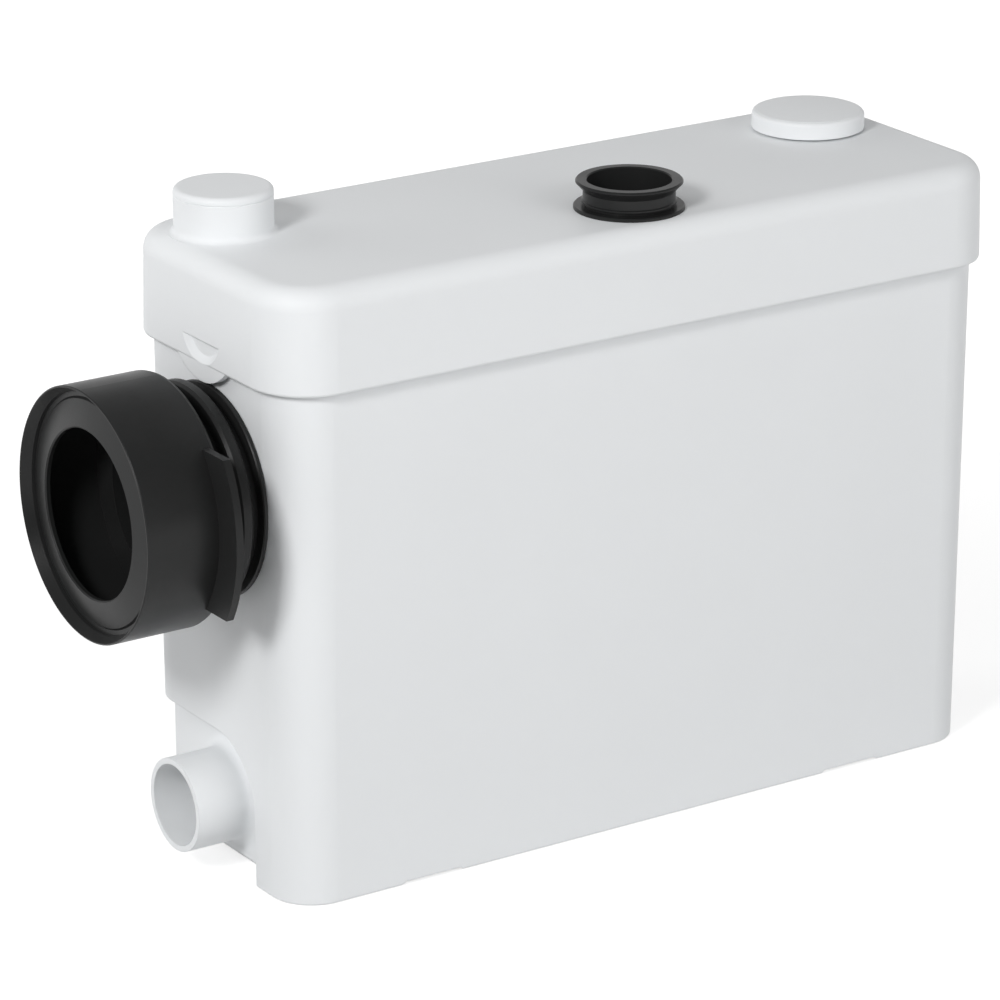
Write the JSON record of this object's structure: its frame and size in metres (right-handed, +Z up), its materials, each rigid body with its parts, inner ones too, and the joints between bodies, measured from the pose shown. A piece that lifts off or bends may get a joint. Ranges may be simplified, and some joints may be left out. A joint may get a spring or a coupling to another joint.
{
  "type": "macerator toilet pump",
  "caption": "Slim white macerator pump tank with a clip-on lid, rubber toilet sleeve on the end, low side spigot, rubber top sleeve, discharge stub and vent cap; motor, cutter and pump inside.",
  "frame": {"origin": "middle of the overall box at floor level", "axes": "+X along the tank away from the toilet inlet, +Y to the back, +Z up"},
  "size_m": [0.432, 0.138, 0.2941],
  "materials": {
    "white_shell": "satin moulded white",
    "black_rubber": "satin moulded rubber",
    "grey_plastic": "matt moulded grey",
    "black_plastic": "matt moulded black",
    "white_plastic": "matt moulded white",
    "steel": "turned stainless steel",
    "lamination": "stacked lamination steel",
    "copper": "enamelled copper wire",
    "carbon": "carbon foam"
  },
  "bodies": {
    "base": {"tank": "white_shell", "lid_seal": "black_rubber", "wc_sleeve": "black_rubber", "valve_cup": "grey_plastic", "discharge_pin": "steel", "discharge_hose": "black_rubber", "hose_clips": "steel", "side_pin": "steel", "motor_housing": "black_plastic", "seal_plate": "grey_plastic", "stator": "lamination", "windings": "copper", "bearings": "steel", "shaft_seal": "black_rubber", "basket": "grey_plastic", "volute": "grey_plastic", "volute_cover": "grey_plastic", "motor_screws": "steel", "cover_screws": "steel", "pressure_bell": "grey_plastic", "diaphragm": "black_rubber", "switch_body": "black_plastic", "micro_switch": "black_plastic", "capacitor": "white_plastic", "terminal_box": "grey_plastic", "cable_gland": "black_plastic"},
    "lid": {"lid": "white_shell", "top_sleeve": "black_rubber", "vent_filter": "carbon"},
    "discharge_cap": {"discharge_cap": "white_shell"},
    "vent_cap": {"vent_cap": "white_shell"},
    "rotor": {"shaft": "steel", "rotor_core": "lamination", "cutter": "steel", "impeller": "black_plastic", "impeller_nut": "steel"},
    "discharge_flap": {"discharge_flap": "black_rubber"},
    "side_flap": {"side_flap": "black_rubber"},
    "switch_plunger": {"switch_plunger": "white_plastic"}
  },
  "joints": [
    {"name": "lid_lift", "type": "slide", "parent": "base", "child": "lid", "axis": [0, 0, 1], "range_m": [0, 0.075]},
    {"name": "discharge_cap_lift", "type": "slide", "parent": "lid", "child": "discharge_cap", "axis": [0, 0, 1], "range_m": [0, 0.02]},
    {"name": "vent_cap_lift", "type": "slide", "parent": "lid", "child": "vent_cap", "axis": [0, 0, 1], "range_m": [0, 0.02]},
    {"name": "rotor_spin", "type": "hinge", "parent": "base", "child": "rotor", "pos_m": [0.112, 0, 0.1], "axis": [0, 0, 1], "continuous": true},
    {"name": "discharge_flap_swing", "type": "hinge", "parent": "base", "child": "discharge_flap", "pos_m": [-0.117, 0.0314, 0.2581], "axis": [0, 1, 0], "range_deg": [0, 55]},
    {"name": "side_flap_swing", "type": "hinge", "parent": "base", "child": "side_flap", "pos_m": [-0.1378, 0.0022, 0.0573], "axis": [0, -1, 0], "range_deg": [0, 45]},
    {"name": "switch_press", "type": "slide", "parent": "base", "child": "switch_plunger", "axis": [0, 0, 1], "range_m": [0, 0.003], "stiffness_N_per_m": 250, "springref_m": -0.001}
  ]
}
